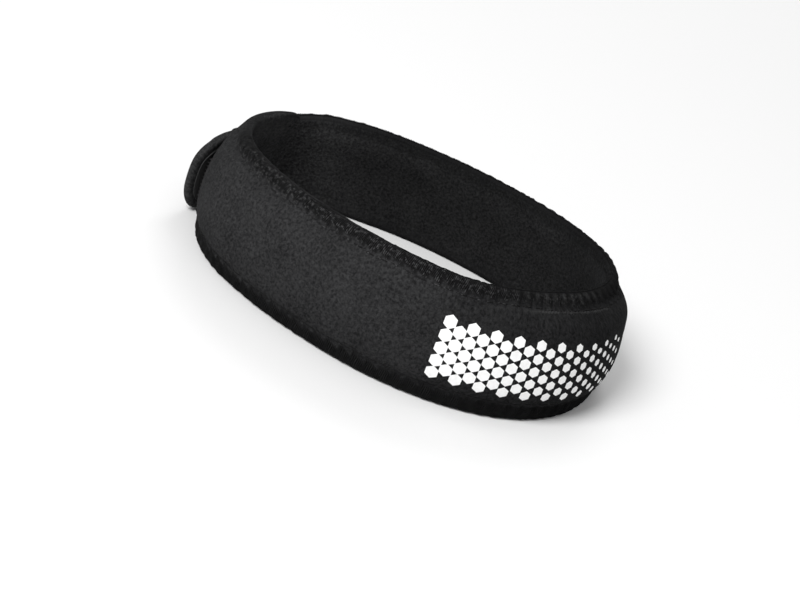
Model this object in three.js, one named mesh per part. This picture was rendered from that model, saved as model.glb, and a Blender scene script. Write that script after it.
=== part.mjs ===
// A patella strap: a padded band closed into an oval loop, standing on its lower edge.
// The band starts at its inner end on the left, runs along the front, round the right end and along
// the back, laps over its own start and ends in a rounded tab that curls away from the loop.
// Millimetres. +Z is up, the front of the loop faces -Y, and it stands on z = 0.
import * as THREE from "three";

// Loop, along the middle of the wall at the lower edge
const loopLength = 130.8;
const loopDepth = 100.2;
const eggShare = 0.04; // how much fuller the right end is than the left
const squareShare = 0.024; // how far the loop leans from an oval to a rounded box

// Band
const frontWidth = 38;
const backWidth = 33.4;
const crownHeight = 3; // how far the middle of the wall bows out past its edges
const topLean = 4; // how far the upper edge leans in over the lower edge
const rimThickness = 2.4; // flat of the sewn edge, which the strap stands on
const seamWidth = 5.6; // margin pressed flat by the edge stitching
const frontSeamThickness = 3.8;
const backSeamThickness = 2.8;
const frontThickness = 7;
const backThickness = 4.4;

// Inner end, under the tab
const innerEndBack = 21; // how far short of the left end it lies
const innerEndShift = 1.7; // how far it is pressed in towards the leg
const innerEndSettle = 14; // run past the left end where it is back in line
const innerEndThickness = 1.8;
const skiveLength = 12;
const endCornerRadius = 7;

// Tab and hook patch
const tabWidth = 25;
const tabThickness = 3;
const tabLift = 0.3; // lower edge of the tab above the lower edge of the band
const tipPower = 3.2; // 2 makes the tip a half circle, and more makes it squarer
const lapRun = 22; // stretch in which the outer layer steps out over the inner one
const taperStart = -46; // runs past the left end between which the band narrows to the tab
const taperEnd = 2;
const tabReach = 9.4; // how far past the left end the tab still lies on the band
const freeLength = 7.6; // stretch that stands free
const curlRadius = 9;
const curlTurn = 39; // degrees that the free stretch turns outward
const patchThickness = 1.1;
const patchMargin = 2.2;
const patchSetback = 3; // from the inner end of the band to the start of the patch
const layerGap = 0.35;

// Fineness of the faceted solids
const stationPace = 5.4;
const tipSteps = 7;
const cornerSteps = 4;

// Padding round the loop: place is a share of the way round, from the left end through the front
const padTable = [
  { place: 0.012, padding: 0 },
  { place: 0.055, padding: 1 },
  { place: 0.54, padding: 1 },
  { place: 0.62, padding: 0 },
];
// Padding across the band, from the seam margin to the middle line
const puffTable = [
  { place: 0, padding: 0 },
  { place: 0.1, padding: 0.42 },
  { place: 0.32, padding: 0.78 },
  { place: 0.62, padding: 0.95 },
  { place: 1, padding: 1 },
];
// Rounding of the sewn edge, over the seam margin
const rimTable = [
  { place: 0, padding: 0 },
  { place: 0.14, padding: 0.82 },
  { place: 0.45, padding: 1 },
];

const mix = THREE.MathUtils.lerp;
const ease = THREE.MathUtils.smoothstep;
const upward = new THREE.Vector3(0, 0, 1);

// Middle line of the loop, from its left end through the front and back again
class LoopLine extends THREE.Curve {
  getPoint(t, target = new THREE.Vector3()) {
    const angle = Math.PI * (1 + 2 * t);
    const oval = Math.sin(angle) * (1 + eggShare * Math.cos(angle));
    const y = (loopDepth / 2) * (oval + squareShare * Math.sin(3 * angle));
    return target.set((loopLength / 2) * Math.cos(angle), y, 0);
  }
}
const loopLine = new LoopLine();
loopLine.arcLengthDivisions = 720;
const loopRun = loopLine.getLength();
const innerEndRun = loopRun - innerEndBack;
const leaveRun = loopRun + tabReach;

// Padding that a table gives at a place, with a straight or a smooth way between its rows
function tablePadding(table, place, way = mix) {
  const next = table.findIndex((row) => place < row.place);
  if (next === 0) return table[0].padding;
  if (next < 0) return table[table.length - 1].padding;
  const [low, high] = [table[next - 1], table[next]];
  const share = (place - low.place) / (high.place - low.place);
  return way(low.padding, high.padding, share);
}
const smoothWay = (low, high, share) => mix(low, high, ease(share, 0, 1));

// Thickness along the middle of the band, without the tab
function paddedThickness(run) {
  return mix(backThickness, frontThickness, tablePadding(padTable, run / loopRun, smoothWay));
}

// How far the band's first stretch lies inside the loop line
function startShift(run) {
  return innerEndShift * (1 - ease(run, -innerEndBack, innerEndSettle));
}

// How far the outer layer lies outside the loop line where it lies on the inner one
function lapOffset(run) {
  const inner = run - loopRun;
  const betweenFaces = layerGap + patchThickness + layerGap;
  return paddedThickness(inner) / 2 + betweenFaces + tabThickness / 2 - startShift(inner);
}

// A station is a cross-section of the band at a run in millimetres past the left end
function loopStation(run) {
  const round = run / loopRun;
  const t = loopLine.getUtoTmapping(round - Math.floor(round));
  const tangent = loopLine.getTangent(t);
  const outward = new THREE.Vector3(tangent.y, -tangent.x, 0);
  const lapped = ease(run, innerEndRun - lapRun, innerEndRun);
  const tapered = ease(run, loopRun + taperStart, loopRun + taperEnd);
  const frontness = (1 + Math.sin(2 * Math.PI * t)) / 2;
  const wall = mix(backWidth, frontWidth, frontness);
  const width = mix(wall, tabWidth, tapered);
  return {
    outward,
    wall,
    half: width / 2,
    middle: width / 2 + tabLift * tapered,
    point: loopLine.getPoint(t).addScaledVector(outward, lapOffset(run) * lapped - startShift(run)),
    seam: mix(mix(backSeamThickness, frontSeamThickness, frontness), tabThickness, lapped),
    full: mix(paddedThickness(run), tabThickness, lapped),
  };
}

// A station counted back from the tip of the tab, whose last stretch curls out and ends straight
function tabStation(toTip) {
  const free = freeLength - toTip;
  if (free <= 0) return loopStation(leaveRun + free);
  const root = loopStation(leaveRun);
  const turn = Math.min(free / curlRadius, THREE.MathUtils.degToRad(curlTurn));
  const outward = root.outward.clone().applyAxisAngle(upward, -turn);
  const onward = outward.clone().applyAxisAngle(upward, Math.PI / 2);
  const point = root.point.clone().addScaledVector(root.outward, curlRadius);
  point.addScaledVector(outward, -curlRadius).addScaledVector(onward, free - turn * curlRadius);
  return { ...root, outward, point };
}

// Steps of a round end or corner: the way back from the end, and the half width lost there
function roundSteps(radius, steps, power = 2) {
  return Array.from({ length: steps }, (_, i) => {
    const angle = (Math.PI / 2) * (i / (steps - 0.6));
    const share = (wave) => radius * (1 - wave ** (2 / power));
    return { back: share(Math.sin(angle)), lost: share(Math.cos(angle)) };
  });
}

// Runs at an even pace, without either end
function runsBetween(from, to) {
  const count = Math.ceil((to - from) / stationPace);
  return Array.from({ length: count - 1 }, (_, i) => mix(from, to, (i + 1) / count));
}

function bandStations() {
  const start = innerEndRun - loopRun;
  const corner = roundSteps(endCornerRadius, cornerSteps).reverse();
  const first = corner.map(({ back, lost }) => {
    const station = loopStation(start + back);
    return { ...station, half: station.half - lost, fromStart: back };
  });
  const radius = tabWidth / 2;
  const tipStart = leaveRun + freeLength - radius;
  const middle = runsBetween(start + endCornerRadius, tipStart).map((run) => {
    return { ...loopStation(run), fromStart: run - start };
  });
  const last = roundSteps(radius, tipSteps, tipPower).map(({ back, lost }) => {
    return { ...tabStation(back), half: radius - lost, toTip: back };
  });
  return [...first, ...middle, ...last];
}

// Rows across a station, from its lower edge to its upper edge
function sectionRows(half) {
  const seam = Math.min(seamWidth, half * 0.4);
  const insets = [
    ...rimTable.map((row) => row.place * seam),
    ...puffTable.map((row) => mix(seam, half, row.place)),
  ];
  const lower = insets.map((inset) => ({ inset, seam, across: inset - half }));
  const upper = lower.slice(0, -1).reverse();
  return [...lower, ...upper.map((row) => ({ ...row, across: -row.across }))];
}

// Distance in from the edge of the tab's tip
function tipInset(toTip, across) {
  const radius = tabWidth / 2;
  const sum = (radius - toTip) ** tipPower + Math.abs(across) ** tipPower;
  return radius - sum ** (1 / tipPower);
}

function bandThickness(station, row) {
  const edge = station.toTip === undefined ? row.inset : tipInset(station.toTip, row.across);
  const rim = tablePadding(rimTable, edge / seamWidth);
  const puff = tablePadding(puffTable, (row.inset - row.seam) / (station.half - row.seam));
  const thickness = mix(mix(rimThickness, station.seam, rim), station.full, rim * puff);
  const skived = ease(station.fromStart ?? skiveLength, 0, skiveLength);
  return mix(Math.min(innerEndThickness, thickness), thickness, skived);
}

// How far the wall stands out of its middle line at a height
function wallReach(height, wall) {
  const across = (2 * height) / wall - 1;
  return crownHeight * (1 - across * across) - topLean * (height / wall);
}

// A closed ring round a station: up its inner face, and down its outer face
function sectionRing(station, faces) {
  const place = (row, offset) => {
    const height = station.middle + row.across;
    const out = wallReach(height, station.wall) + offset;
    return station.point.clone().addScaledVector(station.outward, out).setZ(height);
  };
  const rows = sectionRows(station.half);
  const inner = rows.map((row) => place(row, faces(station, row).inner));
  const outer = rows.map((row) => place(row, faces(station, row).outer));
  return [...inner, ...outer.reverse()];
}

// A closed solid lofted through rings with equal numbers of points
function loft(rings) {
  const count = rings[0].length;
  const last = rings.length - 1;
  const at = (ring, i) => ring * count + (i % count);
  const faces = [];
  const quad = (a, b, c, d) => faces.push(a, b, c, a, c, d);
  for (let ring = 0; ring < last; ring += 1) {
    for (let i = 0; i < count; i += 1) {
      quad(at(ring, i), at(ring, i + 1), at(ring + 1, i + 1), at(ring + 1, i));
    }
  }
  for (let i = 0; i + 1 < count / 2; i += 1) {
    const across = count - 1 - i;
    quad(at(0, i), at(0, across), at(0, across - 1), at(0, i + 1));
    quad(at(last, i), at(last, i + 1), at(last, across - 1), at(last, across));
  }
  const geometry = new THREE.BufferGeometry().setFromPoints(rings.flat());
  geometry.setIndex(faces);
  geometry.computeVertexNormals();
  return geometry;
}

function bandGeometry() {
  const faces = (station, row) => {
    const thickness = bandThickness(station, row);
    return { inner: -thickness / 2, outer: thickness / 2 };
  };
  return loft(bandStations().map((station) => sectionRing(station, faces)));
}

// The hook patch lies on the inner face of the tab, a margin in from its edge
function patchGeometry() {
  const half = tabWidth / 2 - patchMargin;
  const start = innerEndRun + patchSetback;
  const tipStart = leaveRun + freeLength - tabWidth / 2;
  const straight = [start, ...runsBetween(start, tipStart)].map((run) => {
    return { ...loopStation(run), half };
  });
  const last = roundSteps(half, tipSteps, tipPower).map(({ back, lost }) => {
    return { ...tabStation(back + patchMargin), half: half - lost };
  });
  const outer = -tabThickness / 2 - layerGap;
  const faces = () => ({ inner: outer - patchThickness, outer });
  return loft([...straight, ...last].map((station) => sectionRing(station, faces)));
}

function piece(name, geometry, look) {
  const mesh = new THREE.Mesh(geometry, new THREE.MeshStandardMaterial(look));
  mesh.name = name;
  return mesh;
}

const strap = new THREE.Group();
strap.add(piece("band", bandGeometry(), { color: 0x2b2b2c, roughness: 0.95, metalness: 0 }));
strap.add(piece("hook_patch", patchGeometry(), { color: 0x161617, roughness: 0.6, metalness: 0 }));

// The origin is the middle of the whole part's box, on the plane that it stands on
const middle = new THREE.Box3().setFromObject(strap).getCenter(new THREE.Vector3());
strap.position.set(-middle.x, -middle.y, 0);

export default strap;
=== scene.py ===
import math
import bpy
import numpy as np
from mathutils import Matrix, Vector


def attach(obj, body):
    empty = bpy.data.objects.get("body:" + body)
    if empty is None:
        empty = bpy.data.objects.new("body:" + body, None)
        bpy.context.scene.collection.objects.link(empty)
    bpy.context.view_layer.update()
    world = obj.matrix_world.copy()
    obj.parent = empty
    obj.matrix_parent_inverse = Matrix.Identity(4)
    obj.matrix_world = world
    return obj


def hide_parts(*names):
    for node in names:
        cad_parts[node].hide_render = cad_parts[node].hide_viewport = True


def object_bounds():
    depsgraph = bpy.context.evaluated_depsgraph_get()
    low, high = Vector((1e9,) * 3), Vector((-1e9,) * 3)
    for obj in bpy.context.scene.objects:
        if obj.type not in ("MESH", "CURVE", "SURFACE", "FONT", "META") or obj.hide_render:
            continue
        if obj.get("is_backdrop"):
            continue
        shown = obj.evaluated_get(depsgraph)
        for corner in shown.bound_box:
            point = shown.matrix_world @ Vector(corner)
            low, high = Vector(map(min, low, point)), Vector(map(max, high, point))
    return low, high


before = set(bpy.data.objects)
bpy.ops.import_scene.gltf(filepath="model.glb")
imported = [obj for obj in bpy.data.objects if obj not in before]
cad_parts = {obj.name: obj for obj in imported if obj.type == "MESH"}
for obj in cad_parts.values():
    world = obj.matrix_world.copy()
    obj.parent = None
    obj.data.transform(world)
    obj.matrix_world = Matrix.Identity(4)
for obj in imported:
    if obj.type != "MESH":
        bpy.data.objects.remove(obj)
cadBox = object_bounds()
print("frame loaded")

# Metres. The strap stands on its lower edge, and the front of the loop faces -Y.
# Pieces are shaped flat first, as run along the strap, across it and off its middle surface,
# and placeOnStrap lays them round the loop.
strapShape = {
    "loopLength": 0.1308,
    "loopDepth": 0.1002,
    "loopCentre": (0.0016866, 0.0006438),
    "eggShare": 0.04,
    "squareShare": 0.024,
    "frontWidth": 0.038,
    "backWidth": 0.0334,
    "crownHeight": 0.003,
    "topLean": 0.004,
    "seamWidth": 0.0046,  # from the edge to where the padding starts
    "frontSeam": 0.0038,  # thickness of the sewn margin
    "backSeam": 0.0028,
    "frontThickness": 0.007,
    "backThickness": 0.0044,
    "innerEndBack": 0.021,
    "innerEndShift": 0.0017,
    "innerEndSettle": 0.014,
    "innerEndThickness": 0.0018,
    "skiveLength": 0.012,
    "cornerRadius": 0.007,
    "tabWidth": 0.025,
    "tabThickness": 0.003,
    "tabLift": 0.0003,
    "tipPower": 3.2,
    "lapRun": 0.022,
    "taperStart": -0.046,
    "taperEnd": 0.002,
    "tabReach": 0.0094,
    "freeLength": 0.0076,
    "curlRadius": 0.009,
    "curlTurn": math.radians(39),
    "layerGap": 0.00035,
    "patchThickness": 0.0011,
    "threadRoom": 0.0003,  # left outside the cloth's edge for the thread that wraps it
    "puffSharpness": 4.2,
    "tuckDepth": 0.0058,  # how far the upper margin folds in at the right end
    "foldReach": 0.0068,  # from the edge to where that fold begins
    "foldThin": 0.3,  # share of the edge's thickness that is lost in the fold
    "foldShare": 0.82,  # of the margin's width that is left in the fold
    "lowerFlare": 0.0012,  # how far the lower edge stands out at the front, and pulls in at the back
    "lowerPull": 0.0026,
    "shoulder": 0.0009,  # how far the padding stands out below the fold, at the right end
    "upperRise": 0.0003,  # of the wrapped upper edge above the solid's
    "taperRise": 0.0005,  # of the same edge where the back starts to narrow
    "weltHeight": 0.00045,  # of the fold that the tuck raises below that margin
    "weltLine": 0.0052,
    "endStep": 0.3,  # share of the inner end's inner layer that is left at its very end
    "stitchPitch": 0.0042,
    "needleLine": 0.0042,  # from the edge, straight across the cloth
    "toothDepth": 0.0014,
    "lowerShare": 1.3,  # the lower margin is this much wider than the upper one
    "tabShare": 0.62,
    "needleDepth": 0.0004,
    "boxInset": 0.0038,  # of the seam that holds the hook patch, from the tab's edge
    "boxBack": 0.0165,  # from the left end back to that seam's far side
    "boxDepth": 0.0004,
    "boxSpread": 0.0007,
    "weltSpread": 0.0004,
    "pullSpread": 0.0008,  # of a needle dent
    "creaseShare": 0.4,
    "creaseSpread": 0.0006,
    "shoulderLine": 0.0075,
    "shoulderSpread": 0.0035,
    "slackShare": 0.7,  # of the front's flare that is missing behind the left end
    "rollRuns": (-0.016, -0.006, 0.009, 0.021),
    "seamRuns": (0.013, 0.030),
    # As shares of the loop's run, from the left end along the front
    "paddingOn": (0.012, 0.055),
    "paddingOff": (0.54, 0.62),
    "foldWindow": (0.32, 0.44, 0.44, 0.62),
    "slackWindow": (0.12, 0.17, 0.22, 0.29),
    "frontOn": (0.02, 0.09),
    "frontOff": (0.42, 0.52),
    "backWindow": (0.54, 0.64, 0.84, 0.92),
    "shoulderWindow": (0.42, 0.48, 0.52, 0.58),
    "weltWindow": (0.36, 0.40, 0.475, 0.51),
    "cordWindow": (0.38, 0.425, 0.495, 0.52),
}
# Pitch along and across the cloth, height and seed
clothRelief = {
    "lumps": (0.023, 0.013, 0.00028, 3),
    "dimples": (0.0066, 0.0058, 0.00010, 4),
    "nap": (0.0017, 0.0017, 0.00006, 5),
}


def smoothStep(x, low, high):
    share = np.clip((x - low) / (high - low), 0, 1)
    return share * share * (3 - 2 * share)


def windowOf(x, start, full, waning, end):
    return smoothStep(x, start, full) - smoothStep(x, waning, end)


def blendOf(low, high, share):
    return low + (high - low) * share


def softNoise(x, y, seed):
    lattice = np.random.default_rng(seed).random((256, 256)) * 2 - 1
    x, y = np.broadcast_arrays(x, y)
    col, row = np.floor(x).astype(int), np.floor(y).astype(int)
    fx, fy = smoothStep(x - col, 0, 1), smoothStep(y - row, 0, 1)
    corner = lambda dc, dr: lattice[(row + dr) % 256, (col + dc) % 256]
    low = blendOf(corner(0, 0), corner(1, 0), fx)
    high = blendOf(corner(0, 1), corner(1, 1), fx)
    return blendOf(low, high, fy)


def loopXY(angle):
    s = strapShape
    oval = np.sin(angle) * (1 + s["eggShare"] * np.cos(angle))
    x = s["loopLength"] / 2 * np.cos(angle)
    y = s["loopDepth"] / 2 * (oval + s["squareShare"] * np.sin(3 * angle))
    return x, y


def loopDirection(angle):
    s = strapShape
    swing = np.cos(angle) + s["eggShare"] * np.cos(2 * angle)
    dx = -s["loopLength"] / 2 * np.sin(angle)
    dy = s["loopDepth"] / 2 * (swing + 3 * s["squareShare"] * np.cos(3 * angle))
    size = np.hypot(dx, dy)
    return dx / size, dy / size


lineShares = np.linspace(0, 1, 8001)
lineX, lineY = loopXY(math.pi * (1 + 2 * lineShares))
lineRuns = np.concatenate(([0], np.cumsum(np.hypot(np.diff(lineX), np.diff(lineY)))))
loopRun = float(lineRuns[-1])
leaveRun = loopRun + strapShape["tabReach"]
clothStart = -strapShape["innerEndBack"] + strapShape["threadRoom"]
clothCorner = strapShape["cornerRadius"] - strapShape["threadRoom"]
tabHalf = strapShape["tabWidth"] / 2
tipCentre = leaveRun + strapShape["freeLength"] - tabHalf


def paddedThickness(run):
    place = run / loopRun
    padding = windowOf(place, *strapShape["paddingOn"], *strapShape["paddingOff"])
    return blendOf(strapShape["backThickness"], strapShape["frontThickness"], padding)


def startShift(run):
    settled = smoothStep(run, -strapShape["innerEndBack"], strapShape["innerEndSettle"])
    return strapShape["innerEndShift"] * (1 - settled)


def rolledOver(run):  # where the padding rolls over the upper margin, at the left end
    return windowOf(run, *strapShape["rollRuns"])


def seamStart(run):  # where the upper margin and its thread come out of that roll
    return smoothStep(run, *strapShape["seamRuns"])


def frontFold(run):  # where the upper margin folds in, at the right end
    return windowOf(run / loopRun, *strapShape["foldWindow"])


def stationAt(run):
    s = strapShape
    onLoop = np.minimum(run, leaveRun)
    t = np.interp(onLoop % loopRun, lineRuns, lineShares)
    angle = math.pi * (1 + 2 * t)
    x, y = loopXY(angle)
    dx, dy = loopDirection(angle)
    outX, outY = dy, -dx
    innerEndRun = loopRun - s["innerEndBack"]
    lapped = smoothStep(onLoop, innerEndRun - s["lapRun"], innerEndRun)
    frontness = (1 + np.sin(2 * math.pi * t)) / 2
    wall = blendOf(s["backWidth"], s["frontWidth"], frontness)
    tapered = smoothStep(onLoop, loopRun + s["taperStart"], loopRun + s["taperEnd"])
    width = blendOf(wall, s["tabWidth"], tapered)
    layers = 2 * s["layerGap"] + s["patchThickness"] + s["tabThickness"] / 2
    inner = onLoop - loopRun
    step = (paddedThickness(inner) / 2 + layers - startShift(inner)) * lapped - startShift(run)
    x, y = x + outX * step, y + outY * step
    free = run - onLoop
    turn = np.minimum(free / s["curlRadius"], s["curlTurn"])
    turnedX = outX * np.cos(turn) + outY * np.sin(turn)
    turnedY = outY * np.cos(turn) - outX * np.sin(turn)
    onward = free - turn * s["curlRadius"]
    x = x + (outX - turnedX) * s["curlRadius"] - turnedY * onward
    y = y + (outY - turnedY) * s["curlRadius"] + turnedX * onward
    skive = smoothStep(run + s["innerEndBack"], 0, s["skiveLength"])
    seam = blendOf(blendOf(s["backSeam"], s["frontSeam"], frontness), s["tabThickness"], lapped)
    full = blendOf(paddedThickness(onLoop), s["tabThickness"], lapped)
    rim = blendOf(s["innerEndThickness"], seam, skive) / 2
    thinned = rim * s["foldThin"] * frontFold(run)
    room = s["threadRoom"] * (1 - smoothStep(run, tipCentre - 0.006, tipCentre))
    return {
        "x": x + s["loopCentre"][0],
        "y": y + s["loopCentre"][1],
        "outX": turnedX,
        "outY": turnedY,
        "wall": wall,
        "half": width / 2 - room,
        "middle": width / 2 + s["tabLift"] * tapered,
        "rim": rim - thinned,
        "puff": (full - seam) / 2 * skive + thinned,
    }


def wallReach(run, across, station):
    s = strapShape
    height = station["middle"] + across
    share = 2 * height / station["wall"] - 1
    reach = s["crownHeight"] * (1 - share * share) - s["topLean"] * height / station["wall"]
    low = np.clip(1 - height / station["wall"], 0, 1) ** 2
    place = run / loopRun
    slack = s["slackShare"] * windowOf(place, *s["slackWindow"])
    front = smoothStep(place, *s["frontOn"]) - slack - smoothStep(place, *s["frontOff"])
    back = windowOf(place, *s["backWindow"])
    reach = reach + (s["lowerFlare"] * front - s["lowerPull"] * back) * low
    fromTop = station["half"] - across
    beside = (fromTop - s["shoulderLine"]) / s["shoulderSpread"]
    reach = reach + s["shoulder"] * windowOf(place, *s["shoulderWindow"]) * np.exp(-(beside**2))
    tucked = 1 - smoothStep(fromTop, 0.0002, s["foldReach"])
    return reach - s["tuckDepth"] * frontFold(run) * tucked


def placeOnStrap(run, across, off):
    s = strapShape
    run, across, off = np.broadcast_arrays(run, across, off)
    station = stationAt(run)
    onTop = smoothStep(across / np.maximum(station["half"], 0.001), 0.4, 1)
    onLoop = 1 - smoothStep(run, loopRun - 0.035, loopRun - 0.015)
    taper = windowOf(run, loopRun - 0.041, loopRun - 0.032, loopRun - 0.022, loopRun - 0.012)
    across = across + (s["upperRise"] * (onLoop + rolledOver(run)) + s["taperRise"] * taper) * onTop
    probe = 0.0002
    ahead = wallReach(run, across + probe, station)
    behind = wallReach(run, across - probe, station)
    slope = (ahead - behind) / (2 * probe)
    size = np.sqrt(1 + slope * slope)
    out = wallReach(run, across, station) + off / size
    x = station["x"] + station["outX"] * out
    y = station["y"] + station["outY"] * out
    z = station["middle"] + across - off * slope / size
    return np.stack([x, y, np.maximum(z, 0.00002)], axis=-1)


def edgeDistance(run, across, half):
    side = half - np.abs(across)
    beyond = clothStart + clothCorner - run
    over = np.abs(across) - (half - clothCorner)
    atCorner = clothCorner - np.hypot(beyond, over)
    atEnd = np.where(over > 0, atCorner, np.minimum(run - clothStart, side))
    power = strapShape["tipPower"]
    past = np.maximum(run - tipCentre, 0)
    atTip = tabHalf - (past**power + np.abs(across) ** power) ** (1 / power)
    return np.where(run > tipCentre, atTip, np.where(beyond > 0, atEnd, side))


def boxDistance(run, across):  # from the seam that holds the hook patch
    power = strapShape["tipPower"]
    past = np.maximum(run - tipCentre, 0)
    fromEdge = tabHalf - (past**power + np.abs(across) ** power) ** (1 / power)
    fromStart = run - (loopRun - strapShape["boxBack"])
    return np.minimum(fromEdge - strapShape["boxInset"], fromStart)


def marginShare(run, across, side):
    onLoop = np.where((across < 0) & (side > 0), strapShape["lowerShare"], 1.0)
    onLoop = onLoop * blendOf(1, strapShape["foldShare"], frontFold(run) * (across > 0))
    return blendOf(onLoop, strapShape["tabShare"], smoothStep(run, loopRun - 0.03, loopRun + 0.002))


def weltEdge(run):
    return strapShape["weltLine"] * blendOf(1, strapShape["foldShare"], frontFold(run))


def stitchPlace(run, across):
    path = np.where(across > 0, tipCentre - run, outlineRun - tipCentre + run)
    return path / stitchPace


def weltShare(run):
    return windowOf(run / loopRun, *strapShape["weltWindow"])


def reliefOf(kind, run, across, side):
    along, over, height, seed = clothRelief[kind]
    return softNoise(run / along, across / over + side * 40.5, seed) * height


def clothThickness(run, across, side):
    s = strapShape
    station = stationAt(run)
    half, rim = station["half"], station["rim"]
    edge = np.clip(edgeDistance(run, across, half), 0, None)
    rounding = np.sqrt(np.maximum(rim**2 - np.maximum(rim - edge, 0) ** 2, 0))
    upper = smoothStep(across, -0.001, 0.001)
    seam = s["seamWidth"] * (1 - 0.8 * rolledOver(run) * upper * (side > 0))
    inset = np.clip((half - np.abs(across) - seam) / (half - seam), 0, 1)
    puff = 1 - (1 - inset) ** s["puffSharpness"]
    thickness = rounding + puff * station["puff"]
    padded = station["puff"] / 0.0016 * smoothStep(inset, 0, 0.3)
    fine = reliefOf("dimples", run, across, side) + reliefOf("nap", run, across, side)
    thickness = thickness + reliefOf("lumps", run, across, side) * padded
    thickness = thickness + fine * smoothStep(edge, 0.001, 0.004)
    fold = (edge - weltEdge(run)) / s["weltSpread"]
    welt = s["weltHeight"] * np.exp(-fold * fold) * weltShare(run)
    thickness = thickness + welt * (across > 0) * (side > 0)
    stitch = stitchPlace(run, across)
    stitch = stitch - np.rint(stitch)
    fromLine = edge - s["needleLine"] * marginShare(run, across, side)
    along = stitch * s["stitchPitch"] / s["pullSpread"]
    pulled = np.exp(-(along**2) - (fromLine / s["pullSpread"]) ** 2)
    crease = s["creaseShare"] * np.exp(-((fromLine / s["creaseSpread"]) ** 2))
    wrapped = smoothStep(tipCentre - run, 0, 0.002) * np.where(side > 0, 1, 0.2)
    wrapped = wrapped * (1 - rolledOver(run) * upper)
    thickness = thickness - s["needleDepth"] * (pulled + crease) * wrapped
    boxed = np.exp(-((boxDistance(run, across) / s["boxSpread"]) ** 2)) * (side > 0)
    thickness = thickness - s["boxDepth"] * boxed
    ending = blendOf(s["endStep"], 1, smoothStep(run - clothStart, 0, 0.02))
    return thickness * np.where(side > 0, 1, ending)


def placeOnFace(run, across, side, lift):
    return placeOnStrap(run, across, side * (clothThickness(run, across, side) + lift))


# The wrapped edge of the flat strap as one path: upper edge, inner end, lower edge
outlineStart = clothStart + clothCorner
straightRun = tipCentre - outlineStart
endHalf = float(stationAt(np.array(outlineStart))["half"]) - clothCorner
cornerRun = math.pi / 2 * clothCorner
outlineStops = np.cumsum([0, straightRun, cornerRun, 2 * endHalf, cornerRun, straightRun])
outlineRun = float(outlineStops[-1])
stitchCount = round(outlineRun / strapShape["stitchPitch"])
stitchPace = outlineRun / stitchCount


def outlinePlace(path):
    part = np.clip(np.searchsorted(outlineStops, path, side="right") - 1, 0, 4)
    along = path - outlineStops[part]
    upper, lower = tipCentre - along, outlineStart + along
    turn = along / clothCorner
    zero, one = np.zeros_like(path), np.ones_like(path)
    runs = [
        upper,
        outlineStart - clothCorner * np.sin(turn),
        zero + clothStart,
        outlineStart - clothCorner * np.cos(turn),
        lower,
    ]
    acrosses = [
        stationAt(upper)["half"],
        endHalf + clothCorner * np.cos(turn),
        endHalf - along,
        -endHalf - clothCorner * np.sin(turn),
        -stationAt(lower)["half"],
    ]
    inwardRuns = [zero, np.sin(turn), one, np.cos(turn), zero]
    inwardAcross = [-one, -np.cos(turn), zero, np.sin(turn), one]
    return [np.choose(part, rows) for rows in (runs, acrosses, inwardRuns, inwardAcross)]


def placeOnEdge(path, contour, lift):
    run, across, inRun, inAcross = outlinePlace(path)
    rim = stationAt(run)["rim"]
    turn = np.minimum(np.abs(contour) / rim, math.pi / 2)
    inset = rim * (1 - np.cos(turn)) + np.maximum(np.abs(contour) - rim * math.pi / 2, 0)
    run, across = run + inRun * inset, across + inAcross * inset
    side = np.where(contour < 0, -1.0, 1.0)
    off = side * (clothThickness(run, across, side) + np.sin(turn) * lift)
    out = np.cos(turn) * lift
    return placeOnStrap(run - inRun * out, across - inAcross * out, off)


def readPoints(mesh):
    points = np.empty(len(mesh.vertices) * 3)
    mesh.vertices.foreach_get("co", points)
    return points.reshape(-1, 3)


def writePoints(mesh, points):
    mesh.vertices.foreach_set("co", np.ascontiguousarray(points, dtype=np.float32).ravel())
    mesh.update()


def selectOnly(piece):
    bpy.ops.object.select_all(action="DESELECT")
    piece.select_set(True)
    bpy.context.view_layer.objects.active = piece


def faceOutward(piece, weld=None):
    selectOnly(piece)
    bpy.ops.object.mode_set(mode="EDIT")
    bpy.ops.mesh.select_all(action="SELECT")
    if weld:
        bpy.ops.mesh.remove_doubles(threshold=weld)
    bpy.ops.mesh.normals_make_consistent(inside=False)
    bpy.ops.object.mode_set(mode="OBJECT")


def pointValues(mesh, name, values):
    attribute = mesh.attributes.new(name, "FLOAT", "POINT")
    attribute.data.foreach_set("value", values.astype(np.float32))


def joinPieces(pieces, name):
    selectOnly(pieces[0])
    for piece in pieces:
        piece.select_set(True)
    bpy.ops.object.join()
    joined = bpy.context.view_layer.objects.active
    joined.name = joined.data.name = name
    return joined


def dressPiece(piece, material):
    piece.data.materials.clear()
    piece.data.materials.append(material)
    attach(piece, "root")


def addNode(tree, kind, inputs=None, **settings):
    node = tree.nodes.new(kind)
    for name, value in settings.items():
        setattr(node, name, value)
    for name, value in (inputs or {}).items():
        socket = node.inputs[name]
        if isinstance(value, bpy.types.NodeSocket):
            tree.links.new(value, socket)
        else:
            socket.default_value = value
    return node


def mathNode(tree, operation, *values, clamp=False):
    node = addNode(tree, "ShaderNodeMath", dict(enumerate(values)), operation=operation, use_clamp=clamp)
    return node.outputs[0]


def attributeValue(tree, name):
    return addNode(tree, "ShaderNodeAttribute", attribute_name=name).outputs["Fac"]


def mixedColour(tree, share, under, over):
    return addNode(tree, "ShaderNodeMix", {0: share, 6: under, 7: over}, data_type="RGBA").outputs[2]


def colourRamp(tree, share, dark, light, span=(0, 1)):
    ramp = addNode(tree, "ShaderNodeValToRGB", {0: share})
    first, last = ramp.color_ramp.elements
    first.position, last.position = span
    first.color, last.color = (*dark, 1), (*light, 1)
    return ramp.outputs[0]


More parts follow.
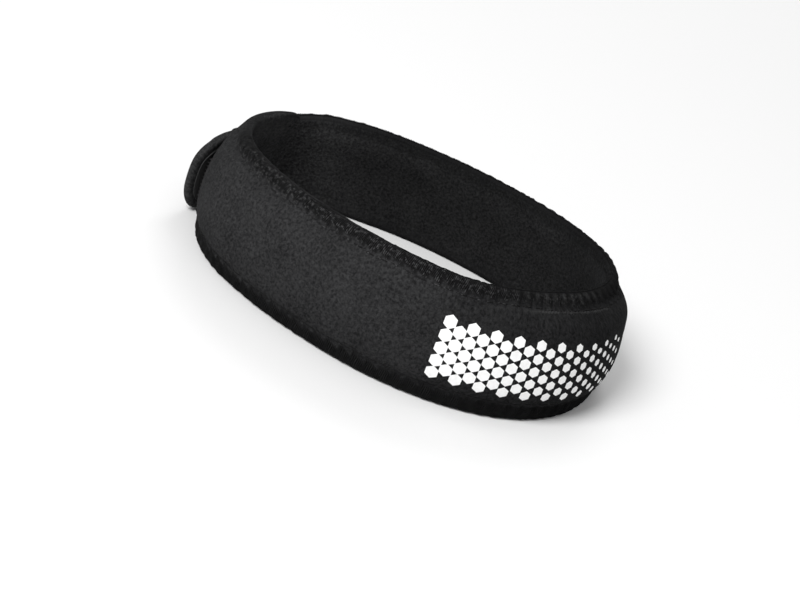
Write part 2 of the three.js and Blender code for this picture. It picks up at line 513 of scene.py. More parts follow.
def finishSurface(tree, shader, colour, height, look):
    tree.links.new(colour, shader.inputs["Base Color"])
    relief = {"Height": height, "Strength": look["bump"], "Distance": look["depth"]}
    bump = addNode(tree, "ShaderNodeBump", relief)
    tree.links.new(bump.outputs[0], shader.inputs["Normal"])
    shader.inputs["Roughness"].default_value = look["roughness"]
    if "specular" in look:
        shader.inputs["Specular IOR Level"].default_value = look["specular"]


def noiseNode(tree, where, scale, **numbers):
    inputs = {"Vector": where, "Scale": scale}
    for name, value in numbers.items():
        inputs[name.capitalize()] = value
    return addNode(tree, "ShaderNodeTexNoise", inputs).outputs[0]


def makeNapGroup():
    group = bpy.data.node_groups.new("brushedNap", "ShaderNodeTree")
    for name, kind in (("Vector", "Vector"), ("Tuft", "Float"), ("Fibre", "Float"), ("Patch", "Float")):
        group.interface.new_socket(name, in_out="INPUT", socket_type=f"NodeSocket{kind}")
    for name in ("Shade", "Height"):
        group.interface.new_socket(name, in_out="OUTPUT", socket_type="NodeSocketFloat")
    start, end = addNode(group, "NodeGroupInput"), addNode(group, "NodeGroupOutput")
    where = start.outputs["Vector"]
    tuft = noiseNode(group, where, start.outputs["Tuft"], detail=3.0, roughness=0.6, distortion=0.6)
    fibre = noiseNode(group, where, start.outputs["Fibre"], detail=2.0, roughness=0.7, distortion=1.2)
    patch = noiseNode(group, where, start.outputs["Patch"], detail=2.0, roughness=0.5)
    fine = mathNode(group, "MULTIPLY", tuft, 0.62)
    fine = mathNode(group, "MULTIPLY_ADD", fibre, 0.38, fine)
    group.links.new(fine, end.inputs["Height"])
    broad = mathNode(group, "SUBTRACT", patch, 0.5)
    group.links.new(mathNode(group, "MULTIPLY_ADD", broad, 0.16, fine), end.inputs["Shade"])
    return group


napGroup = makeNapGroup()


def newMaterial(name):
    material = bpy.data.materials.new(name)
    material.use_nodes = True
    tree = material.node_tree
    shader = next(node for node in tree.nodes if node.type == "BSDF_PRINCIPLED")
    return material, tree, shader


# Scales a colour by a point attribute; every caller passes the painted light and shade factor.
def scaledColour(tree, colour, attribute):
    shadingFactor = attributeValue(tree, attribute)
    scaled = addNode(tree, "ShaderNodeVectorMath", {0: colour, "Scale": shadingFactor}, operation="SCALE")
    return scaled.outputs[0]


def napNode(tree, where, look):
    nap = addNode(tree, "ShaderNodeGroup", node_tree=napGroup)
    tree.links.new(where, nap.inputs["Vector"])
    for size in ("Tuft", "Fibre", "Patch"):
        nap.inputs[size].default_value = 1 / look[size.lower()]
    return nap


def clothMaterial(name, look):
    material, tree, shader = newMaterial(name)
    nap = napNode(tree, addNode(tree, "ShaderNodeUVMap", uv_map="flatCloth").outputs[0], look)
    shade, height = nap.outputs["Shade"], nap.outputs["Height"]
    nappy = colourRamp(tree, shade, look["dark"], look["light"], look["shadeRange"])
    pressed = mixedColour(tree, attributeValue(tree, "sewnMargin"), nappy, (*look["pressed"], 1))
    # Painted highlight: a lighter colour is mixed in along the tab's rim and the welt's ridge, as far as the
    # nap stands up there.
    highlightShare = mathNode(tree, "MULTIPLY", attributeValue(tree, "paintedHighlight"), height)
    highlightShare = mathNode(tree, "MULTIPLY", highlightShare, look["wearAndHighlight"], clamp=True)
    highlighted = mixedColour(tree, highlightShare, pressed, (*look["highlightColour"], 1))
    # Painted light and shade: the colour is scaled by a factor that changes along the strap and across it.
    finishSurface(tree, shader, scaledColour(tree, highlighted, "paintedShading"), height, look)
    shader.inputs["Sheen Weight"].default_value = look["sheen"]
    shader.inputs["Sheen Roughness"].default_value = look["sheenRoughness"]
    shader.inputs["Sheen Tint"].default_value = look["sheenTint"]
    return material


# One gain here scales the painted highlight on the tab's rim and the welt's ridge; each look below gives
# that highlight's colour.
clothFinish = {
    "bump": 1.0, "depth": 0.0004, "roughness": 0.95, "wearAndHighlight": 1.9,
    "sheenRoughness": 0.45, "sheenTint": (0.75, 0.78, 0.8, 1),
}
coverLook = {
    **clothFinish,
    "tuft": 0.00092, "fibre": 0.00038, "patch": 0.011,
    "shadeRange": (0.385, 0.625),
    "dark": (0.010, 0.010, 0.0105), "light": (0.036, 0.036, 0.037),
    "pressed": (0.010, 0.010, 0.0104), "highlightColour": (0.062, 0.062, 0.063),
    "specular": 0.03, "sheen": 0.01,
}
liningLook = {
    **clothFinish,
    "tuft": 0.0009, "fibre": 0.00035, "patch": 0.009,
    "shadeRange": (0.40, 0.64),
    "dark": (0.006, 0.006, 0.0063), "light": (0.027, 0.027, 0.0275),
    "pressed": (0.009, 0.009, 0.0093), "highlightColour": (0.045, 0.045, 0.046),
    "specular": 0.05, "sheen": 0.025,
}
coverMaterial = clothMaterial("brushedCover", coverLook)
liningMaterial = clothMaterial("liningKnit", liningLook)


# Painted light and shade, as colour factors along the strap and across it: shade where the cover turns from
# the light and towards its lower edge, light on the lining's shaded left end and towards its top
paintedShadingLook = {
    "leftCover": 0.78, "rightCover": 0.60, "endCover": 0.2, "lowCover": 0.18,
    "leftRise": (0.03, 0.13), "rightFall": (0.28, 0.40), "endFall": (0.41, 0.48), "backRise": (0.56, 0.68),
    "farLining": 0.76, "leftLining": 0.62, "endLining": 0.24, "topLining": 0.38,
    "endWindow": (0.44, 0.53, 0.60, 0.70), "tabRise": (0.84, 0.93), "startFall": (0.0, 0.03),
}


# Painted shade on the cover: darker at its left end, darker again where it turns away from the light at the
# right end, and darker towards its lower edge.
def coverPaintedShading(run, across):
    look, place = paintedShadingLook, run / loopRun
    shadingFactor = blendOf(look["leftCover"], 1, smoothStep(place, *look["leftRise"]))
    turned = (1 - look["rightCover"]) * smoothStep(place, *look["rightFall"])
    turned = turned + look["endCover"] * smoothStep(place, *look["endFall"])
    shadingFactor = shadingFactor - turned * (1 - smoothStep(place, *look["backRise"]))
    return shadingFactor * (1 - look["lowCover"] * smoothStep(-across, 0, 0.014))


# Painted light and shade on the lining: lighter at its shaded left end and towards its top, darker at the
# right end.
def liningPaintedShading(run, across):
    look, place = paintedShadingLook, run / loopRun
    left = smoothStep(place, *look["tabRise"]) + 1 - smoothStep(place, *look["startFall"])
    turned = windowOf(place, *look["endWindow"])
    shadingFactor = look["farLining"] + look["leftLining"] * np.minimum(left, 1) - look["endLining"] * turned
    return shadingFactor * (1 + look["topLining"] * smoothStep(across, 0.003, 0.014))


# Strengths of the painted highlight on the tab's rim and the welt's ridge, and how wide the welt's highlight
# spreads.
bandLook = {
    "pace": 0.00072, "cornerSteps": 12, "tipSteps": 26, "rows": 62, "fill": 0.7,
    "tabRimHighlight": 0.12, "weltRidgeHighlight": 0.35, "weltLight": 0.00032,
}


def roundTip(radius, steps):
    turn = np.linspace(0, math.pi / 2, 2000)
    power = 2 / strapShape["tipPower"]
    past, half = radius * np.sin(turn) ** power, radius * np.cos(turn) ** power
    length = np.concatenate(([0], np.cumsum(np.hypot(np.diff(past), np.diff(half)))))
    even = np.linspace(0, length[-1], steps)
    return np.interp(even, length, past), np.interp(even, length, half)


def bandColumns():
    corner = np.linspace(math.pi / 2, 0, bandLook["cornerSteps"])
    past, half = roundTip(tabHalf, bandLook["tipSteps"])
    steps = math.ceil(straightRun / bandLook["pace"])
    straight = np.linspace(outlineStart, tipCentre, steps + 1)[1:-1]
    runs = [outlineStart - clothCorner * np.sin(corner), straight, tipCentre + past]
    lost = [clothCorner * (1 - np.cos(corner)), 0 * straight, tabHalf - half]
    return np.concatenate(runs), np.concatenate(lost)


# Writes the pressed margin under the stitching, the painted highlight and the painted light and shade
# factor.
def writeMarginAndPaintedLight(mesh, run, across, side, edge):
    look = bandLook
    teeth = strapShape["needleLine"] - strapShape["toothDepth"] * (stitchPlace(run, across) % 1)
    teeth = teeth * marginShare(run, across, side)
    sewn = 1 - smoothStep(edge, teeth - 0.0004, teeth + 0.0002)
    sewn = sewn * (1 - smoothStep(run, loopRun - 0.006, tipCentre - 0.001))
    covered = (1 - seamStart(run)) * smoothStep(run, *strapShape["rollRuns"][:2]) * (across > 0)
    sewn = sewn * (1 - 0.85 * covered) * smoothStep(run - clothStart, 0.001, 0.004)
    pointValues(mesh, "sewnMargin", sewn * np.where((side > 0) | (edge < 0.0008), 1, 0.2))
    # Painted highlight: lighter colour along the tab's rim, and a broken light line along the welt's ridge.
    tabHighlightShare = look["tabRimHighlight"] * smoothStep(run, loopRun, tipCentre) * (1 - smoothStep(edge, 0.0001, 0.0011))
    weltHighlightShare = np.exp(-(((edge - weltEdge(run)) / look["weltLight"]) ** 2)) * weltShare(run)
    weltHighlightShare = weltHighlightShare * (across > 0) * (side > 0)
    weltHighlightShare = weltHighlightShare * (1 + 0.5 * softNoise(run / 0.0009, across / 0.0005, 21))
    pointValues(mesh, "paintedHighlight", np.clip(tabHighlightShare + look["weltRidgeHighlight"] * weltHighlightShare, 0, 1))
    # Painted light and shade as a colour factor, one for the cover and one for the lining.
    pointValues(mesh, "paintedShading", np.where(side > 0, coverPaintedShading(run, across), liningPaintedShading(run, across)))


def makeBand():
    runs, lost = bandColumns()
    rows = 2 * bandLook["rows"]
    bpy.ops.object.select_all(action="DESELECT")
    bpy.ops.mesh.primitive_grid_add(x_subdivisions=len(runs) - 1, y_subdivisions=rows, size=1)
    band = bpy.context.active_object
    band.name = band.data.name = "strapBand"
    flat = readPoints(band.data)
    column = np.rint((flat[:, 0] + 0.5) * (len(runs) - 1)).astype(int)
    row = np.rint((flat[:, 1] + 0.5) * rows).astype(int)
    run, station = runs[column], stationAt(runs[column])
    half = np.maximum(station["half"] - lost[column], 0)
    rim = station["rim"]
    rimPart = rim * np.arccos(np.clip(1 - half / rim, 0, 1))
    reach = np.maximum(half - rim, 0) + rimPart
    side = np.where(row <= bandLook["rows"], 1.0, -1.0)
    around = np.where(side > 0, row / bandLook["rows"] * 2 - 1, 3 - row / bandLook["rows"] * 2)
    around = around * (1.22 - 0.22 * around * around)  # rows closer together towards the edges
    contour = around * reach
    fromRim = reach - np.abs(contour)
    curved = np.minimum(fromRim / rim, math.pi / 2)
    inset = rim * (1 - np.cos(curved)) + np.maximum(fromRim - rim * math.pi / 2, 0)
    across = np.sign(contour) * np.maximum(half - inset, 0)
    writePoints(band.data, placeOnFace(run, across, side, 0))

    faces = np.empty(len(band.data.loops), dtype=int)
    band.data.loops.foreach_get("vertex_index", faces)
    loopRow = row[faces].reshape(-1, 4)
    outside = (loopRow.max(axis=1) <= bandLook["rows"]).repeat(4)
    v = np.where(outside, contour[faces], 0.1 + contour[faces])
    cloth = band.data.uv_layers.new(name="flatCloth")
    cloth.uv.foreach_set("vector", np.stack([run[faces], v], axis=-1).astype(np.float32).ravel())
    writeMarginAndPaintedLight(band.data, run, across, side, edgeDistance(run, across, station["half"]))
    band.data.materials.append(coverMaterial)
    band.data.materials.append(liningMaterial)
    index = np.where(outside.reshape(-1, 4)[:, 0], 0, 1).astype(np.int32)
    band.data.polygons.foreach_set("material_index", index)
    faceOutward(band, 0.00001)
    bpy.ops.object.shade_smooth()
    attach(band, "root")
    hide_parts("band")
    return band


strapBand = makeBand()
print("band made", len(strapBand.data.polygons))


stitchLook = {
    "needle": 0.0053,  # from the rim to the needle line, along the cloth
    "radius": 0.0002,
    "rise": 0.00013,
    "strands": 8,  # across the margin in each stitch
    "lean": 0.16,
    "wander": 0.0005,
    "boxPitch": 0.0031,
    "cordPitch": 0.0013,
    "tuft": 0.0011,
    "fibre": 0.0003,
    "patch": 0.006,
    "shadeRange": (0.4, 0.62),
    # Painted glints: noise size and range of the lighter flecks, and where along the strap they and the
    # painted highlights fall.
    "glint": 0.00095,
    "glintRange": (0.50, 0.68),
    "glintWindow": (0.05, 0.17, 0.44, 0.52),
    "knotHighlightWindow": (0.33, 0.41, 0.475, 0.51),
    "rimHighlightWindow": (0.05, 0.09, 0.2, 0.3),
    "bump": 0.6,
    "depth": 0.0001,
    "roughness": 0.8,
    "specular": 0.06,
}
# Dark, light and painted glint
threadColours = {
    "edgeThread": ((0.005, 0.005, 0.0052), (0.011, 0.011, 0.0113), (0.056, 0.056, 0.057)),
    "liningThread": ((0.007, 0.007, 0.0073), (0.017, 0.017, 0.0175), (0.02, 0.02, 0.02)),
    "seamThread": ((0.018, 0.018, 0.0185), (0.045, 0.045, 0.046), (0.06, 0.06, 0.06)),
    "cordThread": ((0.026, 0.026, 0.0265), (0.066, 0.066, 0.067), (0.06, 0.06, 0.06)),
}


def threadStrand(points, radius, sides):
    bpy.ops.object.select_all(action="DESELECT")
    bpy.ops.curve.primitive_nurbs_path_add()
    strand = bpy.context.active_object
    path = strand.data.splines[0]
    path.points.add(max(len(points) - len(path.points), 0))
    for point, place in zip(path.points, points):
        point.co = (*place, 1)
    path.order_u = 3
    path.resolution_u = 2
    path.use_endpoint_u = True
    strand.data.bevel_depth = radius
    strand.data.bevel_resolution = sides
    strand.data.use_fill_caps = True
    bpy.ops.object.convert(target="MESH")
    return bpy.context.active_object


def repeatUnit(unit, pitch, count):
    selectOnly(unit)
    row = unit.modifiers.new("row", "ARRAY")
    row.count = count
    row.use_relative_offset = False
    row.use_constant_offset = True
    row.constant_offset_displace = (pitch, 0, 0)
    bpy.ops.object.modifier_apply(modifier=row.name)


def threadMaterial(name):
    look = stitchLook
    dark, light, glintColour = threadColours[name]
    material, tree, shader = newMaterial(name)
    where = addNode(tree, "ShaderNodeTexCoord").outputs["Object"]
    fuzz = napNode(tree, where, look)
    shade = colourRamp(tree, fuzz.outputs["Shade"], dark, light, look["shadeRange"])
    # Painted glints and highlights: lighter flecks where the glint attribute is set, plus the painted
    # highlight along the rim and on the stitch lumps.
    glint = noiseNode(tree, where, 1 / look["glint"], detail=2.0)
    low, high = look["glintRange"]
    glintSpots = addNode(tree, "ShaderNodeMapRange", {0: glint, 1: low, 2: high}).outputs[0]
    glintShare = mathNode(tree, "MULTIPLY", attributeValue(tree, "paintedGlint"), glintSpots)
    glintShare = mathNode(tree, "ADD", glintShare, attributeValue(tree, "paintedThreadHighlight"), clamp=True)
    lit = mixedColour(tree, glintShare, shade, (*glintColour, 1))
    finishSurface(tree, shader, scaledColour(tree, lit, "paintedShading"), fuzz.outputs["Height"], look)
    return material


def makeStitching(name, strands, seed):
    look = stitchLook
    parts = []
    for points, radius in strands:
        flat = [(x * stitchPace, y, z) for x, y, z in points]
        parts.append(threadStrand(flat, radius, 0))
    unit = joinPieces(parts, name)
    repeatUnit(unit, stitchPace, stitchCount)
    path, contour, lift = readPoints(unit.data).T
    side = np.sign(contour)
    number = np.floor(path / stitchPace)
    share = smoothStep(np.abs(contour), 0.0015, look["needle"])
    upper = path < outlineStops[1]
    contour = contour * marginShare(outlinePlace(path)[0], np.where(upper, 1.0, -1.0), side)
    contour = contour + side * softNoise(number + 0.5, side * 30.5, seed) * share * look["wander"]
    path = path + softNoise(path / stitchPace, side * 50.5 + 20, seed) * stitchPace * 0.08
    path = path + softNoise(path / 0.0007, contour / 0.0011, seed + 5) * 0.00016
    lift = lift + 0.00012 * softNoise(path / 0.0009, contour / 0.0016, seed + 6)
    path = np.clip(path, 0.0002, outlineRun - 0.0002)
    run = outlinePlace(path)[0]
    hidden = 1 - np.where(upper, seamStart(run), smoothStep(run, outlineStart, outlineStart + 0.004))
    hidden = np.maximum(hidden, smoothStep(run, tipCentre - 0.007, tipCentre - 0.001))
    lift = lift - 0.0009 * hidden - 0.0001 * (1 - smoothStep(np.abs(contour), 0.0003, 0.0012))
    writePoints(unit.data, placeOnEdge(path, contour, lift))
    # Painted glints on the upper thread's outer face, a broken painted highlight along the rim, and light
    # stitch lumps at the right end's fold.
    place = run / loopRun
    atFold = upper * windowOf(place, *look["knotHighlightWindow"])
    glintFacing = upper * windowOf(place, *look["glintWindow"]) * (1 - 0.35 * atFold)
    pointValues(unit.data, "paintedGlint", glintFacing * smoothStep(contour, 0.0006, 0.0014))
    rimHighlight = 1 - smoothStep(np.abs(contour - 0.0003), 0.0002, 0.0007)
    rimHighlight = rimHighlight * upper * windowOf(place, *look["rimHighlightWindow"])
    rimHighlight = rimHighlight * (0.55 + 0.6 * softNoise(path / 0.0018, 0 * path + 9.5, seed + 8))
    bundleHighlight = np.sin(math.pi * ((path / stitchPace - 0.06) % 1)) ** 2 * smoothStep(contour, 0.0004, 0.0014)
    knotHighlight = bundleHighlight**2 * (1 - smoothStep(contour, 0.0024, 0.0034)) * atFold
    knotHighlight = knotHighlight * (0.8 + 0.6 * softNoise(number + 0.5, 0 * path + 3.5, seed + 9))
    pointValues(unit.data, "paintedThreadHighlight", np.clip(0.3 * rimHighlight + 0.1 * bundleHighlight + 0.5 * knotHighlight, 0, 1))
    across = outlinePlace(path)[1]
    # Painted light and shade on the threads, following the cloth they lie on.
    threadShading = np.where(contour > 0, 0.3 + 0.7 * coverPaintedShading(run, across), liningPaintedShading(run, across))
    pointValues(unit.data, "paintedShading", threadShading)
    faceOutward(unit)
    bpy.ops.object.shade_smooth()
    return unit


def outerStrands():
    look = stitchLook
    d, r, lean = look["needle"], look["radius"], look["lean"]
    strands = []
    for number in range(look["strands"]):
        place = (number + 0.5) / look["strands"]
        inner = d - strapShape["toothDepth"] * place
        up = look["rise"] * (0.1 + 1.8 * math.sin(math.pi * place) ** 2)
        strands.append(([(place + lean, inner, -0.0003), (place + lean, inner - 0.0004, up),
                         (place + lean * 0.6, inner * 0.62, up), (place + lean * 0.2, inner * 0.3, up * 0.6),
                         (place, 0.0003, 0), (place, -0.0012, 0)], r))
    strands.append(([(0.05, d + 0.0002, -0.0003), (0.12, d + 0.0002, 0.0001), (0.5, d + 0.0002, 0.00012),
                     (0.88, d + 0.0002, 0.0001), (0.95, d + 0.0002, -0.0003)], r * 0.8))
    strands.append(([(-0.05, 0.0003, 0.0002), (0.25, 0.0001, 0.00028), (0.5, 0.0004, 0.0002),
                     (0.75, 0.0001, 0.00028), (1.05, 0.0003, 0.0002)], r * 0.8))
    return strands


def laySeam(name, runs, acrosses, pitch, radius, dash, share):
    lengths = np.concatenate([[0], np.cumsum(np.hypot(np.diff(runs), np.diff(acrosses)))])
    count = round(lengths[-1] / pitch)
    pace = lengths[-1] / count
    seam = threadStrand([(x * pace, y, z) for x, y, z in dash], radius, 1)
    repeatUnit(seam, pace, count)
    path, beside, lift = readPoints(seam.data).T
    probe = 0.0002
    run, across = np.interp(path, lengths, runs), np.interp(path, lengths, acrosses)
    slopeRun = np.interp(path + probe, lengths, runs) - np.interp(path - probe, lengths, runs)
    slopeAcross = np.interp(path + probe, lengths, acrosses) - np.interp(path - probe, lengths, acrosses)
    size = np.maximum(np.hypot(slopeRun, slopeAcross), 1e-9)
    run, across = run - slopeAcross / size * beside, across + slopeRun / size * beside
    lift = lift - 0.0008 * (1 - share(run))
    writePoints(seam.data, placeOnFace(run, across, 1.0, lift))
    # Painted light and shade on the seam, following the cover.
    pointValues(seam.data, "paintedShading", coverPaintedShading(run, across))
    seam.name = seam.data.name = name
    faceOutward(seam)
    bpy.ops.object.shade_smooth()
    return seam


def makeBoxSeam():
    half = tabHalf - strapShape["boxInset"]
    past, tipAcross = roundTip(half, 60)
    start = loopRun - strapShape["boxBack"]
    runs = np.concatenate([[start], tipCentre + past, tipCentre + past[::-1], [start, start]])
    acrosses = np.concatenate([[half], tipAcross, -tipAcross[::-1], [-half, half]])
    dash = [(0.08, 0, -0.00045), (0.13, 0, 0.00009), (0.3, 0, 0.00024), (0.5, 0, 0.0003), (0.7, 0, 0.00024),
            (0.87, 0, 0.00009), (0.92, 0, -0.00045)]
    radius = stitchLook["radius"] * 1.4
    return laySeam("boxSeam", runs, acrosses, stitchLook["boxPitch"], radius, dash, np.ones_like)


def cordShare(run):
    return windowOf(run / loopRun, *strapShape["cordWindow"])


def makeWeltCord():
    runs = np.linspace(0.375, 0.525, 200) * loopRun
    acrosses = stationAt(runs)["half"] - weltEdge(runs)
    dash = [(-0.2, -0.0002, -0.0003), (0.1, -0.0001, 0.00003), (0.5, 0, 0.00013), (0.9, 0.0001, 0.00003),
            (1.2, 0.0002, -0.0003)]
    radius = stitchLook["radius"] * 1.1
    return laySeam("weltCord", runs, acrosses, stitchLook["cordPitch"], radius, dash, cordShare)


def innerStrands():
    d, r = stitchLook["needle"], stitchLook["radius"] * 0.7
    strands = []
    for place in (0.15, 0.4, 0.65, 0.9):
        strands.append(([(place + 0.1, -d * 0.8, -0.0003), (place + 0.1, -d * 0.75, -0.00008),
                         (place + 0.05, -d * 0.5, -0.00008), (place, -0.0012, 0), (place, -0.0002, 0)], r))
    return strands


outerThread = threadMaterial("edgeThread")
innerThread = threadMaterial("liningThread")
edgeStitching = makeStitching("edgeStitching", outerStrands(), 11)
dressPiece(edgeStitching, outerThread)
innerStitching = makeStitching("innerStitching", innerStrands(), 12)
dressPiece(innerStitching, innerThread)
boxSeam = makeBoxSeam()
dressPiece(boxSeam, threadMaterial("seamThread"))
weltCord = makeWeltCord()
dressPiece(weltCord, threadMaterial("cordThread"))
threads = (edgeStitching, innerStitching, boxSeam, weltCord)
print("stitching made", *(len(piece.data.polygons) for piece in threads))


patchLook = {
    "setback": 0.003, "margin": 0.0022, "film": 0.0003, "pace": 0.0008, "rows": 30,
    "hookPitch": 0.00135, "hookRadius": 0.00013,
    "grain": 1400.0, "dark": (0.020, 0.020, 0.0205), "light": (0.042, 0.042, 0.043),
    "bump": 0.4, "depth": 0.0001, "roughness": 0.75, "specular": 0.15,
}


def hookMaterial():
    material, tree, shader = newMaterial("hookTape")
    where = addNode(tree, "ShaderNodeTexCoord").outputs["Object"]
    grain = noiseNode(tree, where, patchLook["grain"], detail=3.0)
    colour = colourRamp(tree, grain, patchLook["dark"], patchLook["light"])
    finishSurface(tree, shader, colour, grain, patchLook)
    return material


def patchOutlineHalf(run):
    half = tabHalf - patchLook["margin"]
    past = np.clip(run - tipCentre, 0, half)
    power = strapShape["tipPower"]
    return (half**power - past**power) ** (1 / power)


def makeHookPatch():
    half = tabHalf - patchLook["margin"]
    start = loopRun - strapShape["innerEndBack"] + patchLook["setback"]
    tip = roundTip(half, 18)[0] + tipCentre
    straight = np.linspace(start, tipCentre, math.ceil((tipCentre - start) / patchLook["pace"]) + 1)[:-1]
    runs = np.concatenate([straight, tip])
    bpy.ops.object.select_all(action="DESELECT")
    bpy.ops.mesh.primitive_grid_add(x_subdivisions=len(runs) - 1, y_subdivisions=patchLook["rows"], size=1)
    film = bpy.context.active_object
    flat = readPoints(film.data)
    column = np.rint((flat[:, 0] + 0.5) * (len(runs) - 1)).astype(int)
    flat[:, 0] = runs[column]
    flat[:, 1] = flat[:, 1] * 2 * patchOutlineHalf(runs[column])
    writePoints(film.data, flat)
    faceOutward(film, 0.000005)
    wall = film.modifiers.new("wall", "SOLIDIFY")
    wall.thickness = patchLook["film"]
    wall.offset = -1
    bpy.ops.object.modifier_apply(modifier=wall.name)

    r = patchLook["hookRadius"]
    tall = strapShape["patchThickness"] + strapShape["layerGap"] - patchLook["film"] - 2 * r
    bend = [(0, 0, -0.0001), (0, 0, tall * 0.6), (0, 0.0001, tall), (0, 0.0004, tall),
            (0, 0.00048, tall * 0.7)]
    hook = threadStrand(bend, r, 0)
    hook.name = "hooks"
    pitch = patchLook["hookPitch"]
    columns, lines = int((runs[-1] - start) / pitch), int(2 * half / pitch)
    repeatUnit(hook, pitch, columns)
    selectOnly(hook)
    side = hook.modifiers.new("side", "ARRAY")
    side.count = lines
    side.use_relative_offset = False
    side.use_constant_offset = True
    side.constant_offset_displace = (0, pitch, 0)
    bpy.ops.object.modifier_apply(modifier=side.name)
    points = readPoints(hook.data)
    points[:, 0] += start + (runs[-1] - start - (columns - 1) * pitch) / 2
    points[:, 1] -= (lines - 1) * pitch / 2
    writePoints(hook.data, points)
    cellX = np.rint((points[:, 0] - points[0, 0]) / pitch)
    cellY = np.floor((points[:, 1] - points[:, 1].min()) / pitch)
    baseX = cellX * pitch + points[0, 0]
    baseY = cellY * pitch + points[:, 1].min()
    outside = (np.abs(baseY) > patchOutlineHalf(baseX) - 0.0009) | (baseX > tipCentre + half - 0.0015)
    selectOnly(hook)
    bpy.ops.object.mode_set(mode="EDIT")
    bpy.ops.mesh.select_all(action="DESELECT")
    bpy.ops.object.mode_set(mode="OBJECT")
    hook.data.vertices.foreach_set("select", outside)
    bpy.ops.object.mode_set(mode="EDIT")
    bpy.ops.mesh.delete(type="VERT")
    bpy.ops.object.mode_set(mode="OBJECT")
    patch = joinPieces([film, hook], "hookPatch")
    run, across, lift = readPoints(patch.data).T
    off = -(strapShape["tabThickness"] / 2 + 0.00006) - patchLook["film"] - lift
    writePoints(patch.data, placeOnStrap(run, across, off))
    faceOutward(patch)
    bpy.ops.object.shade_smooth_by_angle(angle=math.radians(40))
    return patch


hookPatch = makeHookPatch()
dressPiece(hookPatch, hookMaterial())
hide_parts("hook_patch")
print("hook patch made", len(hookPatch.data.polygons))


printLook = {
    "firstRun": 0.1240, "lastRun": 0.1875, "lowAcross": -0.0082, "highAcross": 0.0070, "pitch": 0.0038,
    "largest": 0.0020, "smallest": 0.0008, "film": 0.00012,
    "grain": 900.0, "dark": (0.72, 0.72, 0.71), "light": (0.9, 0.9, 0.9),
    "bump": 0.3, "depth": 0.0001, "roughness": 0.6,
}


def inkMaterial():
    material, tree, shader = newMaterial("whiteInk")
    where = addNode(tree, "ShaderNodeTexCoord").outputs["Object"]
    wearAndHighlight = noiseNode(tree, where, printLook["grain"], detail=4.0)
    colour = colourRamp(tree, wearAndHighlight, printLook["dark"], printLook["light"])
    finishSurface(tree, shader, colour, wearAndHighlight, printLook)
    return material


def makePrint():
    p = printLook
    bpy.ops.object.select_all(action="DESELECT")
    bpy.ops.mesh.primitive_circle_add(vertices=6, radius=p["largest"], fill_type="TRIFAN")
    cells = bpy.context.active_object
    bpy.ops.object.mode_set(mode="EDIT")
    bpy.ops.mesh.delete(type="VERT")
    stepAlong = p["pitch"] * math.sqrt(3) / 2
    columns = int((p["lastRun"] - p["firstRun"]) / stepAlong) + 1
    for column in range(columns):
        share = column / (columns - 1)
        radius = blendOf(p["largest"], p["smallest"], share**1.3)
        shift = p["pitch"] / 2 * (column % 2)
        across = p["lowAcross"] + shift
        while across <= p["highAcross"] + 0.0001:
            place = (p["firstRun"] + column * stepAlong, across, 0)
            bpy.ops.mesh.primitive_circle_add(vertices=6, radius=radius, fill_type="TRIFAN", location=place)
            across += p["pitch"]
    bpy.ops.mesh.select_all(action="SELECT")
    bpy.ops.mesh.subdivide(number_cuts=2)
    bpy.ops.object.mode_set(mode="OBJECT")
    wall = cells.modifiers.new("film", "SOLIDIFY")
    wall.thickness = p["film"]
    wall.offset = -1
    bpy.ops.object.modifier_apply(modifier=wall.name)
    cells.name = cells.data.name = "frontPrint"
    run, across, lift = readPoints(cells.data).T
    writePoints(cells.data, placeOnFace(run, across, 1.0, lift + p["film"] * 0.6))
    faceOutward(cells)
    bpy.ops.object.shade_smooth_by_angle(angle=math.radians(50))
    return cells


frontPrint = makePrint()
dressPiece(frontPrint, inkMaterial())
print("print made", len(frontPrint.data.polygons))

roomLook = {
    "floorSize": 8, "floorColour": (0.8, 0.8, 0.8, 1), "floorRoughness": 0.9, "floorSpecular": 0.2,
    "skyColour": (1, 1, 1, 1), "skyStrength": 0.5,
    "lightTarget": (0, 0, 0.02),
    # Place and size in metres, power in watts
    "keyLight": ((-0.25, -1.03, 1.1), 0.7, 22),
    "fillLight": ((0.9, -0.6, 0.9), 1.0, 0.6),
    "backLight": ((-0.3, 1.1, 1.0), 0.8, 6),
}
cameraLook = {
    "elevation": math.radians(23.77),
    "azimuth": math.radians(-18.96),
    "roll": math.radians(20.66),
    "distance": 0.654,
    "targetHeight": 0.019,
    "aimRight": -0.006724,  # off the target, as shares of the distance
    "aimUp": -0.023744,
    "lens": 95.84,
    "sensor": 36,
}


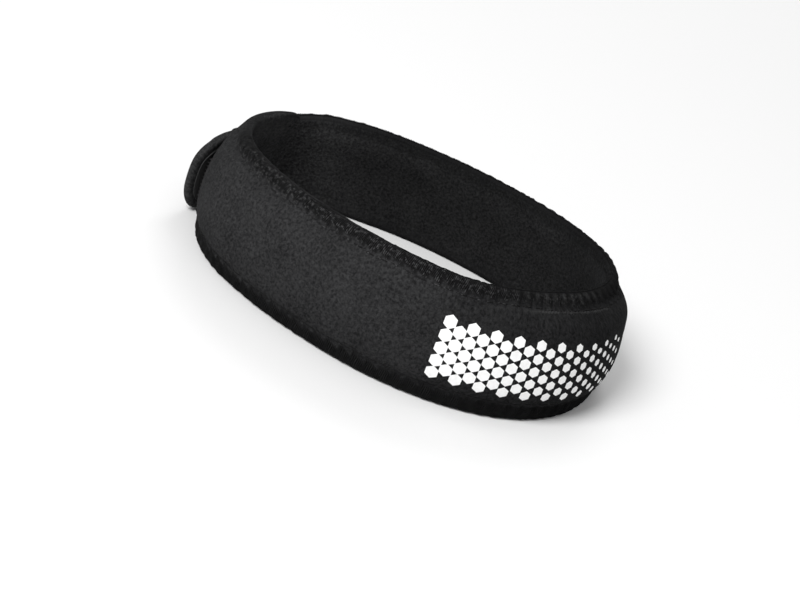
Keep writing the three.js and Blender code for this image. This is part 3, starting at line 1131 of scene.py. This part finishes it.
def makeFloor():
    bpy.ops.object.select_all(action="DESELECT")
    bpy.ops.mesh.primitive_plane_add(size=roomLook["floorSize"], location=(0, 0, 0))
    floor = bpy.context.active_object
    floor.name = "floor"
    material, tree, shader = newMaterial("paleFloor")
    shader.inputs["Base Color"].default_value = roomLook["floorColour"]
    shader.inputs["Roughness"].default_value = roomLook["floorRoughness"]
    shader.inputs["Specular IOR Level"].default_value = roomLook["floorSpecular"]
    floor.data.materials.append(material)
    floor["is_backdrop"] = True


def areaLight(name):
    place, size, power = roomLook[name]
    data = bpy.data.lights.new(name, "AREA")
    data.shape = "DISK"
    data.size = size
    data.energy = power
    lamp = bpy.data.objects.new(name, data)
    lamp.location = place
    aim = Vector(roomLook["lightTarget"]) - Vector(place)
    lamp.rotation_mode = "QUATERNION"
    lamp.rotation_quaternion = aim.to_track_quat("-Z", "Y")
    bpy.context.scene.collection.objects.link(lamp)


def makeCamera():
    look = cameraLook
    elevation, azimuth, roll = look["elevation"], look["azimuth"], look["roll"]
    near = math.cos(elevation)
    forward = Vector((math.sin(azimuth) * near, math.cos(azimuth) * near, -math.sin(elevation)))
    level = Vector((math.cos(azimuth), -math.sin(azimuth), 0))
    raised = level.cross(forward)
    rightward = level * math.cos(roll) + raised * math.sin(roll)
    upward = raised * math.cos(roll) - level * math.sin(roll)
    place = Vector((*strapShape["loopCentre"], look["targetHeight"])) - forward * look["distance"]
    aim = (forward + look["aimRight"] * rightward + look["aimUp"] * upward).normalized()
    rightward = (rightward - aim * rightward.dot(aim)).normalized()
    upward = rightward.cross(aim)
    data = bpy.data.cameras.new("photoCamera")
    data.lens, data.sensor_width = look["lens"], look["sensor"]
    data.clip_start, data.clip_end = 0.01, 50
    camera = bpy.data.objects.new("photoCamera", data)
    turned = Matrix((rightward, upward, -aim)).transposed()
    camera.matrix_world = Matrix.Translation(place) @ turned.to_4x4()
    bpy.context.scene.collection.objects.link(camera)
    bpy.context.scene.camera = camera


makeFloor()
for lamp in ("keyLight", "fillLight", "backLight"):
    areaLight(lamp)
world = bpy.data.worlds.new("studio") if not bpy.data.worlds else bpy.data.worlds[0]
bpy.context.scene.world = world
world.use_nodes = True
sky = next(node for node in world.node_tree.nodes if node.type == "BACKGROUND")
sky.inputs[0].default_value = roomLook["skyColour"]
sky.inputs[1].default_value = roomLook["skyStrength"]
bpy.context.scene.view_settings.view_transform = "Standard"
makeCamera()
print("room made")

sizes = {"cad": [list(corner) for corner in cadBox], "visual": [list(corner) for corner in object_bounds()]}
